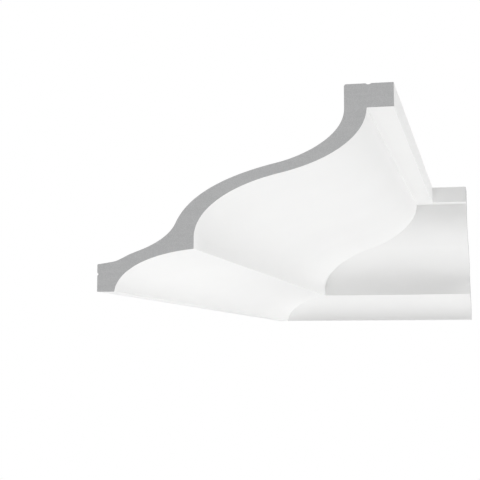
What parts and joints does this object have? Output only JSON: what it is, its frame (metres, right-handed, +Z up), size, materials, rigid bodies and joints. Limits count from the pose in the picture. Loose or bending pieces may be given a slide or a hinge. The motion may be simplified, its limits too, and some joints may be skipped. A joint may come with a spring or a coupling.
{
  "type": "cornice moulding section",
  "caption": "Mitred inside corner of a cornice moulding: cove, step, broad cyma and fillet on a hollow-backed shell, with square-cut ends.",
  "frame": {"origin": "the room's inside corner at the moulding's lower edge, where the two wall faces meet", "axes": "+X out from the left wall and along the return, +Y along the long run towards the far wall, +Z up to the ceiling"},
  "size_m": [0.293, 0.86, 0.167],
  "materials": {
    "primed_long_run": "matte white primer, grey on the square cut",
    "primed_short_return": "matte white primer, grey on the square cut"
  },
  "bodies": {
    "root": {"long_run": "primed_long_run", "short_return": "primed_short_return"}
  },
  "joints": []
}
